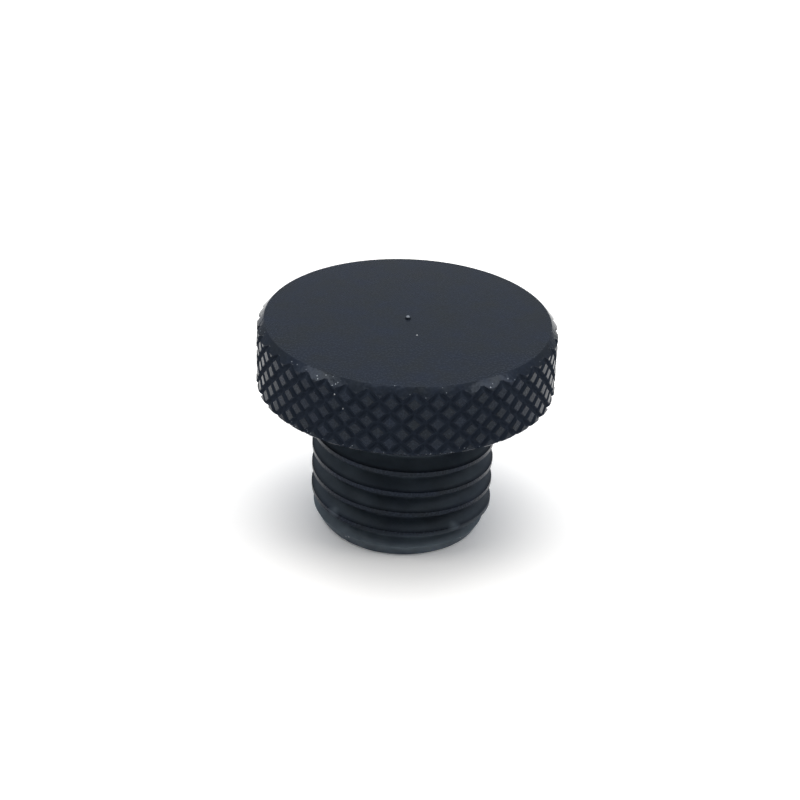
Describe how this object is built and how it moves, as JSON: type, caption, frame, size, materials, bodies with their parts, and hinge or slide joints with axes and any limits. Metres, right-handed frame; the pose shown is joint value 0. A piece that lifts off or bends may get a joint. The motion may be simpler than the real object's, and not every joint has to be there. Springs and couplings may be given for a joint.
{
  "type": "knurled thumb screw",
  "caption": "Thumb screw turned in one piece: a low round head with a diamond knurl, a flat chamfered top and a short fine-pitch left-hand thread.",
  "frame": {"origin": "centre of the flat end of the thread, which the screw stands on", "axes": "+Z along the screw's axis from the thread to the head; X and Y are equal, because the screw is round"},
  "size_m": [0.0162, 0.0162, 0.0123],
  "materials": {
    "black_aluminium": "black anodised, satin"
  },
  "bodies": {
    "root": {"thumb_screw": "black_aluminium"}
  },
  "joints": []
}
